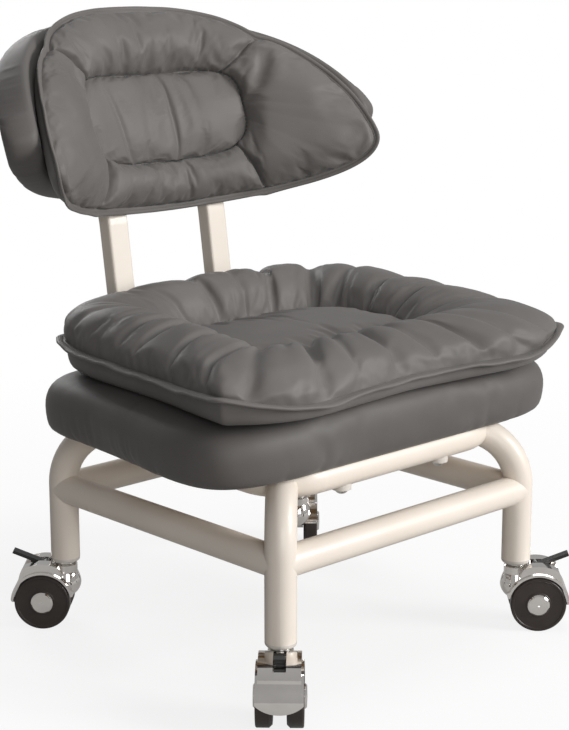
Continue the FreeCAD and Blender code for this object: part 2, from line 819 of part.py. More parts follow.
def back_cushion_section(share):
    """A slice of the back cushion: flat rear, a sewn flange all round, a roll, a panel and a top border."""
    low, high = back_span(share, 25, 0, size("back_height"), 6)
    half_seam, seam = size("seam_thick") / 2, size("seam_width") * 0.75
    low, high = low + seam, high - seam
    rear, middle = 0.3 - size("back_pad_front"), -size("back_seam_set")
    front = middle + half_seam
    tip = (1 - abs(share) ** 4) ** 0.5
    puff = size("back_cushion_puff") * tip
    if abs(share) < 0.9 * PANEL_SHARE:
        channel, swells = size("back_seam_set") * 0.8, (0.95 * puff, 0.5 * puff, puff)
    elif abs(share) < 1.1 * PANEL_SHARE:
        channel, swells = size("back_seam_set") * 0.8, (0.5 * puff, 0.2 * puff, 0.5 * puff)
    else:
        channel, swells = puff, (0.3 * puff, 0.25 * puff, 0.35 * puff)
    roll = low + (high - low) * size("back_roll_top / back_height")
    border = low + (high - low) * size("back_panel_top / back_height")
    side = min(9, (high - low) / 6)
    return section(
        share,
        [
            (rear, low + side, 0.12 * side),
            (middle - half_seam, low, 0),
            (middle - half_seam, low - seam, 0),
            (front, low - seam, 0),
            (front, low, swells[0]),
            (front + channel, roll, swells[1]),
            (front + channel, border, swells[2]),
            (front, high, 0),
            (front, high + seam, 0),
            (middle - half_seam, high + seam, 0),
            (middle - half_seam, high, 0.12 * side),
            (rear, high - side, 0),
        ],
    )


head_depth = "1 - upright_set + bolt_head_height"
head_rooms = back_holes("bolt_head_dia / 2 + 0.5", head_depth, "bolt_head_height + 1")
back_cushion_form = loft_across(back_cushion_section, WING_SHARES)
keep(cut(back_cushion_form, *upright_rooms, *head_rooms), "back_cushion")

# Casters

AXLE_Z = "wheel_dia / 2"
HOOD_IN = "(wheel_dia / 2 + hood_clear)"
HOOD_OUT = "(wheel_dia / 2 + hood_clear + hood_wall)"
HOOD_MID = "(wheel_dia / 2 + hood_clear + hood_wall / 2)"
TRAIL_END, LEAD_END = "-14", "168"
TONGUE_SIDE, TONGUE_LOW = "28", "19.5"
PIVOT = ("caster_trail - lever_pivot_x", f"{AXLE_Z} + lever_pivot_z")


def hood_band():
    """The chromed fender over both wheels, its trailing edge cut to a round tongue."""
    points = [
        (*around(HOOD_OUT, TRAIL_END), HOOD_OUT),
        (*around(HOOD_OUT, "90"), HOOD_OUT),
        around(HOOD_OUT, LEAD_END),
        (*around(HOOD_IN, LEAD_END), f"-{HOOD_IN}"),
        (*around(HOOD_IN, "90"), f"-{HOOD_IN}"),
        around(HOOD_IN, TRAIL_END),
    ]
    band = pad(new_body("Band"), "XZ_Plane", points, "hood_width")
    trim = new_body("Trim")
    wide, deep = "(hood_width / 2 + 1)", "(wheel_dia / 4)"
    arc_radius = f"(({wide} ^ 2 + ({TONGUE_SIDE} - {TONGUE_LOW}) ^ 2) / (2 * ({TONGUE_SIDE} - {TONGUE_LOW})))"
    sketch = new_sketch(trim, "YZ_Plane", "caster_trail + wheel_dia / 4")
    draw_line(
        sketch,
        [
            (f"-{wide}", TONGUE_SIDE, arc_radius),
            ("0", TONGUE_LOW, arc_radius),
            (wide, TONGUE_SIDE),
            (wide, deep),
            (f"-{wide}", deep),
        ],
    )
    block = trim.newObject("PartDesign::Pad", "Pad")
    block.Profile = sketch
    bind(block, Length="wheel_dia / 2")
    return cut(band, trim)


def housing():
    band = hood_band()
    hump_points = [
        (*around(HOOD_MID, "38"), "hump_radius"),
        (*around("hump_radius", "60"), "hump_radius"),
        (*around("hump_radius", "113"), "hump_radius"),
        (*around(HOOD_MID, "130"), f"-{HOOD_MID}"),
    ]
    hump = pad(new_body("Hump"), "XZ_Plane", hump_points, "hump_width")
    post = revolve(
        new_body("Post"),
        "XZ_Plane",
        [
            ("0", "27.5"),
            ("boss_bulge / 2 - 5", "27.5", "14"),
            ("boss_bulge / 2", "38", "30"),
            ("boss_dia / 2", "48"),
            ("boss_dia / 2", "boss_top - 1"),
            ("boss_dia / 2 - 1", "boss_top"),
            ("0", "boss_top"),
        ],
    )
    wheel_room = cylinder(HOOD_IN, "2 * hood_width", "Y", "caster_trail", "-hood_width", AXLE_Z)
    web_points = [
        (*around(HOOD_MID, "20"), HOOD_MID),
        (*around(HOOD_MID, "90"), HOOD_MID),
        around(HOOD_MID, "166"),
        (*around("7", "200"), "7"),
        (*around("7", "275"), "7"),
        around("7", "350"),
    ]
    web = pad(new_body("Web"), "XZ_Plane", web_points, "web_thick")
    shell = fuse(cut(fuse(hump, post), wheel_room), band, web)
    slot_half, bar_half = "(lever_width / 2 + 0.5)", "(brake_bar_width / 2 + 0.5)"
    slot = box(
        ("caster_trail - 6", f"-{slot_half}", f"{AXLE_Z} + 26.5"),
        ("caster_trail + 30", slot_half, f"{AXLE_Z} + 45"),
    )
    bar_room = box(
        ("caster_trail + 3", f"-{bar_half}", f"{AXLE_Z} + 20"),
        ("caster_trail + 12.5", bar_half, f"{AXLE_Z} + 30.6"),
    )
    stem_bore = cylinder("stem_dia / 2 + fit_gap", "20", z="stem_seat - 0.5")
    axle_bore = cylinder("axle_dia / 2", "web_thick + 2", "Y", "caster_trail", "-web_thick / 2 - 1", AXLE_Z)
    pin_length = "(lever_pin_length + 0.6)"
    bore_radius = "lever_pin_dia / 2 + fit_gap"
    pin_bore = cylinder(bore_radius, pin_length, "Y", PIVOT[0], f"-{pin_length} / 2", PIVOT[1])
    leg_room = cylinder("tube_dia / 2 + 0.8", "tube_dia", z="boss_top")
    return cut(shell, slot, bar_room, stem_bore, axle_bore, pin_bore, leg_room)


def brake_lever():
    """The foot lever: a flat arm from its hub, moulded pivot pins and the bar that meets the treads."""
    half = "(lever_thick / 2)"
    arm = [
        (f"lever_length * cos(lever_angle) + {half} * sin(lever_angle)",
         f"lever_length * sin(lever_angle) - {half} * cos(lever_angle)"),
        (f"lever_length * cos(lever_angle) - {half} * sin(lever_angle)",
         f"lever_length * sin(lever_angle) + {half} * cos(lever_angle)"),
        (f"-{half} * sin(lever_angle)", f"{half} * cos(lever_angle)"),
        (f"{half} * sin(lever_angle)", f"-{half} * cos(lever_angle)"),
    ]
    blade = pad(new_body("Blade"), "XZ_Plane", arm, "lever_width")
    hub = cylinder("lever_pin_dia", "lever_width", "Y", y="-lever_width / 2")
    pins = cylinder("lever_pin_dia / 2", "lever_pin_length", "Y", y="-lever_pin_length / 2")
    bar_half = "(brake_bar_width / 2)"
    bar = box(("7.5", f"-{bar_half}", "-3.8"), ("11.5", bar_half, "-0.8"))
    rib = box(("8.5", "-lever_width / 2", "-1"), ("10.5", "lever_width / 2", "3.4"))
    return fuse(blade, hub, pins, bar, rib)


def wheel(side):
    """One of a pair of wheels, its profile turned about the axle; side is +1 or -1 along it."""
    inner = "wheel_gap / 2"
    steps = [
        ("wheel_bore / 2", "0"),
        ("wheel_dia / 2 - 2.4", "0"),
        ("wheel_dia / 2", "2.4"),
        ("wheel_dia / 2", "wheel_width - 0.9"),
        ("wheel_dia / 2 - 0.9", "wheel_width"),
        ("wheel_dia / 2 - 2.4", "wheel_width"),
        ("wheel_dia / 2 - 3", "wheel_width - 0.5"),
        ("cap_dia / 2 + 1.6", "wheel_width - 0.5"),
        ("cap_dia / 2 + 1", "wheel_width"),
        ("cap_dia / 2 + fit_gap", "wheel_width"),
        ("cap_dia / 2 + fit_gap", "wheel_width - cap_depth"),
        ("wheel_bore / 2", "wheel_width - cap_depth"),
    ]
    points = [(radius, f"{side} * ({inner} + {along})") for radius, along in steps]
    return revolve(new_body("Wheel"), "XY_Plane", points)


def hub_cap(side):
    """A domed chrome cap pressed into the wheel's face."""
    face = "wheel_gap / 2 + wheel_width"
    return revolve(
        new_body("Cap"),
        "XY_Plane",
        [
            ("0", f"{side} * ({face} - cap_depth + fit_gap)"),
            ("cap_dia / 2", f"{side} * ({face} - cap_depth + fit_gap)"),
            ("cap_dia / 2", f"{side} * ({face} + cap_stand * 0.4)"),
            ("cap_dia / 2 - 1.2", f"{side} * ({face} + cap_stand * 0.85)"),
            ("0", f"{side} * ({face} + cap_stand)"),
        ],
    )


def stem():
    """The steel stem: gripped by the leg's socket above its flange, a swivel pin below it."""
    return revolve(
        new_body("Stem"),
        "XZ_Plane",
        [
            ("0", "stem_seat"),
            ("stem_dia / 2 - 0.6", "stem_seat"),
            ("stem_dia / 2", "stem_seat + 0.6"),
            ("stem_dia / 2", "boss_top + 0.3"),
            ("stem_flange_dia / 2", "boss_top + 0.3"),
            ("stem_flange_dia / 2", "collar_bottom"),
            ("stem_grip_dia / 2", "collar_bottom"),
            ("stem_grip_dia / 2", "collar_bottom + stem_grip - 1"),
            ("stem_grip_dia / 2 - 1", "collar_bottom + stem_grip"),
            ("0", "collar_bottom + stem_grip"),
        ],
    )


def leg_socket():
    """The moulded plug in the foot of a leg, with a round-edged collar under the tube."""
    return revolve(
        new_body("Socket"),
        "XZ_Plane",
        [
            ("stem_grip_dia / 2 + fit_gap", "collar_bottom"),
            ("tube_dia / 2 - 3", "collar_bottom", "3"),
            ("tube_dia / 2", "collar_bottom + 3"),
            ("tube_dia / 2", "leg_bottom"),
            ("tube_dia / 2 - tube_wall - fit_gap", "leg_bottom"),
            ("tube_dia / 2 - tube_wall - fit_gap", "leg_bottom + socket_length"),
            ("stem_grip_dia / 2 + fit_gap", "leg_bottom + socket_length"),
        ],
    )


sockets = []
for corner in CORNERS:
    sockets.append(at_corner(leg_socket(), corner))
    keep(at_corner(stem(), corner), f"{corner}_caster_stem")
    keep(at_corner(housing(), corner), f"{corner}_caster_housing")
    axle = cylinder("axle_dia / 2", "axle_length", "Y", "caster_trail", "-axle_length / 2", AXLE_Z)
    keep(at_corner(group([axle]), corner), f"{corner}_axle")
    for letter, side in (("a", 1), ("b", -1)):
        keep(at_corner(wheel(side), corner, "caster_trail", AXLE_Z), f"{corner}_wheel_{letter}")
        keep(at_corner(hub_cap(side), corner, "caster_trail", AXLE_Z), f"{corner}_hub_cap_{letter}")
    keep(at_corner(brake_lever(), corner, PIVOT[0], PIVOT[1]), f"{corner}_brake_lever")
keep(group(sockets), "leg_sockets")

# Check and write every sub-part

doc.recompute()
failed = [item.Label for item in doc.Objects if {"Invalid", "Error"} & set(item.State)]
failed += [item.Label for item in nodes if item.Shape.isNull() or not item.Shape.isValid()]
if failed:
    raise SystemExit(f"These did not build: {sorted(set(failed))}")
os.makedirs("parts", exist_ok=True)
for item in nodes:
    item.Shape.exportStep(f"parts/{item.Label}.step")
    print(f"{item.Label}: {len(item.Shape.Solids)} solid, {item.Shape.Volume / 1000:.2f} cm3")
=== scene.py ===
import json
import math
from typing import NamedTuple

import bmesh
import bpy
import numpy as np
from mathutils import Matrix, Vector


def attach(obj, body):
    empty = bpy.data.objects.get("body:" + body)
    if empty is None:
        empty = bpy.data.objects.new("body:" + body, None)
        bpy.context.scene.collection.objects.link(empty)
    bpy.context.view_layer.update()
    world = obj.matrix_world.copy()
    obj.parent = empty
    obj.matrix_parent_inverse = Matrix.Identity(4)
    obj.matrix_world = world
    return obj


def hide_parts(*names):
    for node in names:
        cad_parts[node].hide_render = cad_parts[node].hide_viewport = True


# A low chair on casters, dressed over its frame: four upholstered pieces, finishes, light and camera.
# Lengths are metres. The sitter faces -Y and +X is the sitter's left.

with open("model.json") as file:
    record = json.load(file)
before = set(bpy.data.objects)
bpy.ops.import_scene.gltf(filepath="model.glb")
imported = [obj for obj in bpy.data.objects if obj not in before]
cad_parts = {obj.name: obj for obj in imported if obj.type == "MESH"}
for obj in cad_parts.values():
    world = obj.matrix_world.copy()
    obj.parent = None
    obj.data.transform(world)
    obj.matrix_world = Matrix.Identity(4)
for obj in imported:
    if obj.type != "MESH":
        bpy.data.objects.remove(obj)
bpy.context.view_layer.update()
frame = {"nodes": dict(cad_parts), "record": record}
scene = bpy.context.scene

# Rings and patches

SIDE = 88  # mesh steps along each of a soft piece's four sides
PLACE = np.arange(4 * SIDE) / SIDE  # 0 to 1 along the first side, 1 to 2 along the second, and so on
SHARE = np.linspace(0, 1, SIDE + 1)  # places along one side of a patch
HALF_WAVE = np.sin(math.pi * SHARE)
DOME = np.sqrt(np.outer(HALF_WAVE, HALF_WAVE))  # a patch that rises steeply from its border
CURVE_STEPS = 16
CORNER_STEPS = 400


def resample(points, count):
    """Evenly spaced points along a line of points, both ends included."""
    points = np.asarray(points, float)
    lengths = np.linalg.norm(np.diff(points, axis=0), axis=1)
    run = np.concatenate([[0], np.cumsum(lengths)])
    marks = np.linspace(0, run[-1], count + 1)
    return np.stack([np.interp(marks, run, points[:, axis]) for axis in range(points.shape[1])], axis=1)


def through(points):
    """A smooth line through a few points."""
    points = np.asarray(points, float)
    ends = np.vstack([2 * points[0] - points[1], points, 2 * points[-1] - points[-2]])
    line = []
    for before, start, end, after in zip(ends, ends[1:], ends[2:], ends[3:]):
        for share in np.linspace(0, 1, CURVE_STEPS, endpoint=False):
            bend = 2 * before - 5 * start + 4 * end - after
            turn = 3 * start - before - 3 * end + after
            line.append(start + 0.5 * share * ((end - before) + share * (bend + share * turn)))
    return np.vstack([line, points[-1]])


def closed(*sides):
    """A ring of points made of four sides in turn."""
    return np.vstack([resample(side, SIDE)[:-1] for side in sides])


def mirrored(points):
    """The other half of a line, from its end back to its start, across the middle plane."""
    return [(-point[0], *point[1:]) for point in reversed(points)]


def round_box(power):
    """A ring on the unit square with round corners, started at its front right corner."""
    sides = []
    for quarter in range(4):
        angles = np.radians(np.linspace(-135, -45, CORNER_STEPS) + 90 * quarter)
        cosine, sine = np.cos(angles), np.sin(angles)
        radius = (np.abs(cosine) ** power + np.abs(sine) ** power) ** (-1 / power)
        sides.append(np.stack([radius * cosine, radius * sine], axis=1))
    return closed(*sides)


def outward(ring):
    """The way out of each point of a ring, level with it."""
    along = np.roll(ring, -1, axis=0) - np.roll(ring, 1, axis=0)
    out = np.stack([along[:, 1], -along[:, 0], np.zeros(len(ring))], axis=1)
    return out / np.linalg.norm(out, axis=1, keepdims=True)


def patch(ring):
    """A grid of points that fills a ring of four sides."""
    front, left, rear, right = (np.roll(ring, -side * SIDE, axis=0)[: SIDE + 1] for side in range(4))
    rear, right = rear[::-1], right[::-1]
    across, along = SHARE[None, :, None], SHARE[:, None, None]
    rows = (1 - along) * front[None] + along * rear[None]
    columns = (1 - across) * right[:, None] + across * left[:, None]
    near = (1 - across) * front[0] + across * front[-1]
    far = (1 - across) * rear[0] + across * rear[-1]
    return rows + columns - (1 - along) * near - along * far


class Skin:
    """A surface grown ring by ring and closed with patches."""

    def __init__(self):
        self.points = np.zeros((0, 3))
        self.faces = []

    def add(self, points):
        """Takes new points in. Returns their indices."""
        first = len(self.points)
        self.points = np.vstack([self.points, points])
        return np.arange(first, first + len(points))

    def band(self, low, high):
        """Faces between two rings."""
        for index in range(len(low)):
            after = (index + 1) % len(low)
            self.faces.append((low[index], low[after], high[after], high[index]))

    def rings(self, start, rings):
        """Faces from a ring through more rings. Returns the indices of all of them."""
        rows = [start]
        for ring in rings:
            rows.append(self.add(ring))
            self.band(rows[-2], rows[-1])
        return rows

    def fill(self, ring, grid):
        """Closes a ring with a grid whose border is that ring."""
        index = np.empty((SIDE + 1, SIDE + 1), int)
        inner = self.add(grid[1:-1, 1:-1].reshape(-1, 3))
        index[1:-1, 1:-1] = inner.reshape(SIDE - 1, SIDE - 1)
        index[0, :-1] = ring[:SIDE]
        index[:-1, -1] = ring[SIDE : 2 * SIDE]
        index[-1, :0:-1] = ring[2 * SIDE : 3 * SIDE]
        index[:0:-1, 0] = ring[3 * SIDE :]
        for row in range(SIDE):
            near, far = index[row], index[row + 1]
            for column in range(SIDE):
                self.faces.append((near[column], near[column + 1], far[column + 1], far[column]))

    def mesh(self, name):
        """The surface as a new object."""
        data = bpy.data.meshes.new(name)
        data.from_pydata(self.points.tolist(), [], [tuple(int(i) for i in face) for face in self.faces])
        work = bmesh.new()
        work.from_mesh(data)
        bmesh.ops.recalc_face_normals(work, faces=work.faces)
        work.to_mesh(data)
        work.free()
        data.shade_smooth()
        item = bpy.data.objects.new(name, data)
        scene.collection.objects.link(item)
        return item


# Blown and gathered cloth

CLOTH_STEPS = 20
GOLDEN_SHARE = 0.6180339887
FOLD_SKEW, FOLD_POINT = 1.8, 1.4  # how much gentler one flank of a fold is, and how sharp its middle
FOLD_LEAN = 0.12  # how far a fold may slant between rim and panel
FOLD_DEEPEST = 0.013
FOLDED_FIRST = 0.4  # share of a fold's depth that is there before the cover is blown up
FOLD_ENDS, PANEL_FADE = 0.4, 1.4  # how folds run out at both seams, and from the panel
GATHER_SCATTER, GATHER_LEAST, GATHER_WEAK = 0.6, 0.35, 0.1
BORDER_ROWS, RIM_SLOPE = 26, 0.85
EDGE_ROOT = -0.002  # how far a sewn edge reaches in behind its seam
EDGE_WAVES = ((1.0, 23, 0), (0.7, 41, 1), (0.4, 67, 2))  # share, waves and start of each ripple
TIP_WIDENING, TIP_SPREAD = 0.25, 0.025


def inflate(item, held, pressure, reach, slack=0.06):
    """Blows a closed skin up as slack cloth, with some points held. No point moves further than a reach."""
    rest = np.empty(len(item.data.vertices) * 3)
    item.data.vertices.foreach_get("co", rest)
    rest = rest.reshape(-1, 3)
    pins = item.vertex_groups.new(name="held")
    pins.add([int(index) for index in held], 1.0, "REPLACE")
    cloth = item.modifiers.new("inflate", "CLOTH")
    cloth.settings.quality = 6
    cloth.settings.mass = 0.3
    cloth.settings.tension_stiffness = 12
    cloth.settings.compression_stiffness = 12
    cloth.settings.bending_stiffness = 0.15
    cloth.settings.use_pressure = True
    cloth.settings.uniform_pressure_force = pressure
    cloth.settings.shrink_min = -slack
    cloth.settings.effector_weights.gravity = 0
    cloth.settings.vertex_group_mass = "held"
    cloth.collision_settings.use_collision = False
    cloth.point_cache.frame_start = 1
    cloth.point_cache.frame_end = CLOTH_STEPS
    for step in range(1, CLOTH_STEPS + 1):
        scene.frame_set(step)
    shown = item.evaluated_get(bpy.context.evaluated_depsgraph_get())
    blown = np.empty(len(rest) * 3)
    shown.data.vertices.foreach_get("co", blown)
    move = blown.reshape(-1, 3) - rest
    length = np.linalg.norm(move, axis=1, keepdims=True)
    move *= np.minimum(1, reach / np.maximum(length, 1e-9))
    item.modifiers.remove(cloth)
    scene.frame_set(1)
    item.vertex_groups.remove(pins)
    item.data.vertices.foreach_set("co", (rest + move).ravel())
    item.data.update()


def valley(place, spot, width):
    """How deep a fold is at places round a four-sided ring, 1 at its middle, with one flank steeper."""
    gap = (place - spot + 2) % 4 - 2
    reach = np.where(gap > 0, FOLD_SKEW * width, width)
    return np.exp(-((np.abs(gap) / reach) ** FOLD_POINT))


def golden(number):
    """An even scatter between 0 and 1."""
    return (number * GOLDEN_SHARE) % 1


class Fold(NamedTuple):
    """A fold: its place round the ring, its width and depth, and how strong it is at both seams."""

    spot: float
    width: float
    depth: float
    at_rim: float
    at_panel: float


def small_gathers(count, width, depth):
    """Fine folds of uneven depth all round a ring, by turns at the rim and at the panel."""
    folds = []
    for number in range(count):
        spot = 4 * (number + GATHER_SCATTER * golden(number)) / count
        strength = depth * (GATHER_LEAST + (1 - GATHER_LEAST) * golden(3 * number + 1))
        if number % 3 > 0:
            folds.append(Fold(spot, width, strength, GATHER_WEAK, 1.0))
        else:
            folds.append(Fold(spot, width, strength, 1.0, GATHER_WEAK))
    return folds


def puffed(rim, panel, height, belly, folds, seam, slope=RIM_SLOPE, fade=2.2):
    """Rings of a stuffed border from a rim seam up and over to a panel seam, and how deep folds sink them.

    The panel's seam is drawn in by its own depth. The greater the slope, the gentler the border falls to the
    panel, and the greater the fade, the shorter are the folds from the rim.
    """
    out = outward(rim)
    rings, sinks = [], []
    for row in range(1, BORDER_ROWS + 1):
        turned = math.pi * row / BORDER_ROWS
        share = (1 - math.cos(turned)) / 2
        arch = max(0, math.sin(turned))
        sink = np.zeros(len(rim))
        for number, fold in enumerate(folds):
            lean = FOLD_LEAN * (golden(5 * number) - 0.5) * (share - 0.5)
            strength = fold.at_rim * (1 - share) ** fade + fold.at_panel * share**PANEL_FADE
            sink += fold.depth * strength * valley(PLACE, fold.spot + lean, fold.width)
        sink = np.minimum(sink, FOLD_DEEPEST) * arch**FOLD_ENDS
        ring = rim * (1 - share) + panel * share
        ring[:, 2] += height * arch ** (RIM_SLOPE if share < 0.5 else slope) - FOLDED_FIRST * sink
        ring += out * belly * max(0, math.sin(2 * turned))
        rings.append(ring)
        sinks.append((1 - FOLDED_FIRST) * sink)
    sinks[-1] = np.full(len(rim), seam)
    return rings, np.concatenate(sinks)


def sew(item, first, sinks):
    """Draws the folds and seams of a blown border in, from its first point on."""
    item.data.update()
    for index, sink in enumerate(sinks, first):
        point = item.data.vertices[index]
        point.co -= point.normal * sink


def flange(rim, width, thick, wave, tips):
    """Rings of a flat sewn edge round a seam, slightly wavy and wider at its tips."""
    widening = sum(TIP_WIDENING * valley(PLACE, tip, TIP_SPREAD) for tip in tips)
    out = outward(rim) * (1 + widening)[:, None]
    lift = wave * sum(size * np.sin(PLACE * waves + start) for size, waves, start in EDGE_WAVES) / 2
    profile = [
        (EDGE_ROOT, 0.5),
        (0.25 * width, 0.5),
        (0.32 * width, 0.28),
        (0.4 * width, 0.5),
        (0.85 * width, 0.5),
        (width, 0.15),
        (width, -0.15),
        (0.85 * width, -0.5),
        (EDGE_ROOT, -0.5),
    ]
    rings = []
    for reach, level in profile:
        ring = rim + out * reach
        ring[:, 2] += level * thick + lift * max(0, reach) / width
        rings.append(ring)
    return rings


def add_flange(item, rings):
    """Joins a closed strip of rings to a soft piece."""
    strip = Skin()
    rows = strip.rings(strip.add(rings[0]), rings[1:])
    strip.band(rows[-1], rows[0])
    edge = strip.mesh("edge")
    with bpy.context.temp_override(active_object=item, selected_editable_objects=[item, edge]):
        bpy.ops.object.join()


def finish_soft(item, node):
    """Puts a soft piece in its node's place."""
    smooth = item.modifiers.new("smooth", "SUBSURF")
    smooth.levels = 1
    smooth.render_levels = 1
    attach(item, "frame")
    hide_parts(node)


PAD_PRESSURE, CUSHION_PRESSURE = 1.0, 4.0

# Seat pad: a smooth cover over its board, open below round the board

PAD_LOW, PAD_HIGH, PAD_CROWN = 0.183, 0.233, 0.003
PAD_HALF_FRONT, PAD_HALF_REAR = 0.206, 0.178
PAD_FRONT, PAD_REAR = -0.141, 0.129
PAD_ROUND_FRONT, PAD_ROUND_REAR = 6, 9
PAD_REACH = 0.002
BOARD_INSET, BOARD_TOP = 0.020, 0.2012

# The pad's lower lip is lifted over the rear rail, and a little less beside it
RAIL_Y, RAIL_TOP, RAIL_HALF = 0.104, 0.1892, 0.100
LIP_RAMP, LIP_DROP, LIP_DROP_RAMP = 0.008, 0.002, 0.015

# Inset, inset at the rear and height of the cover's rings, from the top down and in under the board
PAD_SIDE_RINGS = [
    (0.030, 0.030, PAD_HIGH + 0.0005),
    (0.018, 0.018, PAD_HIGH - 0.0008),
    (0.010, 0.010, PAD_HIGH - 0.0035),
    (0.004, 0.004, PAD_HIGH - 0.009),
    (0.001, 0.001, PAD_HIGH - 0.017),
    (0, 0, (PAD_LOW + PAD_HIGH) / 2),
    (0.001, 0.0005, PAD_LOW + 0.012),
    (0.003, 0.001, PAD_LOW + 0.006),
]
PAD_HELD_RINGS = [
    (0.008, 0.0015, PAD_LOW + 0.0015),
    (0.014, 0.002, PAD_LOW),
    (BOARD_INSET, 0.003, PAD_LOW + 0.001),
    (BOARD_INSET + 0.001, 0.0035, BOARD_TOP - 0.004),
    (BOARD_INSET + 0.003, 0.004, BOARD_TOP),
]


def seat_ring(inset, rear_inset, z):
    """A level ring round the seat, wider in front, drawn in by an inset and by another at the rear."""
    front, rear = round_box(PAD_ROUND_FRONT), round_box(PAD_ROUND_REAR)
    unit = np.where(front[:, 1:] > 0, rear, front)
    middle, half = (PAD_FRONT + PAD_REAR) / 2, (PAD_REAR - PAD_FRONT) / 2
    width = (PAD_HALF_FRONT + PAD_HALF_REAR) / 2 - (PAD_HALF_FRONT - PAD_HALF_REAR) / 2 * unit[:, 1]
    depth = half - np.where(unit[:, 1] > 0, rear_inset, inset)
    x, y = unit[:, 0] * (width - inset), middle + unit[:, 1] * depth
    return np.stack([x, y, np.full(len(unit), z)], axis=1)


def seat_pad():
    """The cover of the seat pad."""
    skin = Skin()
    rings = [seat_ring(*ring) for ring in PAD_SIDE_RINGS + PAD_HELD_RINGS]
    for ring in rings:
        over_rail = np.clip((ring[:, 1] - RAIL_Y) / LIP_RAMP, 0, 1)
        lip = RAIL_TOP - LIP_DROP * np.clip((np.abs(ring[:, 0]) - RAIL_HALF) / LIP_DROP_RAMP, 0, 1)
        low = lip * over_rail + ring[:, 2] * (1 - over_rail)
        ring[:, 2] = np.maximum(ring[:, 2], low)
    rows = skin.rings(skin.add(rings[0]), rings[1:])
    top = patch(rings[0])
    crown = np.minimum.outer(HALF_WAVE, HALF_WAVE)
    top[..., 2] += PAD_CROWN * np.sin(0.5 * math.pi * np.clip(crown * 2, 0, 1))
    skin.fill(rows[0], top)
    top_end = len(skin.points)
    skin.fill(rows[-1], patch(rings[-1]))
    item = skin.mesh("seat_pad_cover")
    held = np.concatenate([*rows[len(PAD_SIDE_RINGS) :], np.arange(top_end, len(skin.points))])
    inflate(item, held, PAD_PRESSURE, PAD_REACH)
    finish_soft(item, "seat_pad")
    return item


# Seat cushion: a stuffed border gathered round a sunk panel, with a flat sewn edge

CUSHION_CREST, CREST_FALL, CREST_FALL_RUN = 0.290, 0.010, 0.2
SIDE_RISE, REAR_RISE, RISE_POWER = 0.006, 0.010, 0.7
PANEL_HALF_X, PANEL_HALF_Y, PANEL_Y, PANEL_Z = 0.100, 0.072, -0.006, 0.261
PANEL_ROUND, PANEL_DOME = 3.4, 0.005
SEAT_SEAM, SEAT_BELLY, SEAT_SLOPE = 0.0015, 0.006, 1.35
SEAT_RISE = 0.002  # how much higher the border stands when it is blown up
SEAT_REACH, SEAT_SLACK = 0.004, 0.04
SEAT_EDGE_WIDTH, SEAT_EDGE_THICK, SEAT_EDGE_WAVE = 0.008, 0.0036, 0.0012
SEAT_TIPS = (0, 0.21, 0.79, 1, 2, 3)
SEAT_GAP, UNDER_HOLLOW = 0.001, 0.0035

SEAT_FRONT = [
    (-0.192, -0.129, 0.259),
    (-0.163, -0.146, 0.252),
    (-0.122, -0.155, 0.247),
    (-0.060, -0.151, 0.248),
    (0, -0.147, 0.249),
]
SEAT_SIDE = [
    (0.192, -0.129, 0.259),
    (0.187, -0.095, 0.256),
    (0.178, -0.040, 0.255),
    (0.174, 0.010, 0.256),
    (0.170, 0.060, 0.257),
    (0.162, 0.095, 0.259),
    (0.150, 0.111, 0.261),
]
SEAT_REAR = [(0.150, 0.111, 0.261), (0.140, 0.121, 0.259), (0.100, 0.123, 0.256), (0, 0.122, 0.254)]

# Shares by which the rings below the rim draw in and come down to the pad
SEAT_UNDER_RINGS = ((0, 0.28), (0.005, 0.55), (0.018, 0.8), (0.055, 0.96), (0.13, 1.0))

SEAT_FOLDS = [
    Fold(0.02, 0.014, 0.009, 0.8, 0.9),
    Fold(0.19, 0.018, 0.014, 0.9, 1.0),
    Fold(0.30, 0.013, 0.007, 0.4, 1.0),
    Fold(0.43, 0.016, 0.012, 0.8, 1.0),
    Fold(0.55, 0.014, 0.009, 0.5, 1.0),
    Fold(0.69, 0.016, 0.012, 0.8, 1.0),
    Fold(0.80, 0.013, 0.007, 0.9, 0.5),
    Fold(0.92, 0.014, 0.008, 0.9, 0.5),
    Fold(1.12, 0.020, 0.007, 0.6, 0.9),
    Fold(1.35, 0.024, 0.008, 0.4, 1.0),
    Fold(1.60, 0.024, 0.008, 0.4, 1.0),
    Fold(1.85, 0.020, 0.008, 0.7, 0.9),
    Fold(2.03, 0.020, 0.013, 1.0, 1.0),
    Fold(2.27, 0.022, 0.013, 1.0, 1.0),
    Fold(2.45, 0.016, 0.007, 0.5, 0.9),
    Fold(2.62, 0.020, 0.011, 0.5, 1.0),
    Fold(2.84, 0.016, 0.007, 0.6, 0.8),
    Fold(3.12, 0.016, 0.008, 0.6, 0.8),
    Fold(3.30, 0.014, 0.007, 0.3, 1.0),
    Fold(3.41, 0.016, 0.010, 0.4, 1.0),
    Fold(3.52, 0.016, 0.010, 0.4, 1.0),
    Fold(3.72, 0.016, 0.008, 0.6, 0.9),
    Fold(3.93, 0.014, 0.009, 0.8, 0.7),
]
SEAT_GATHERS = small_gathers(56, 0.014, 0.002)


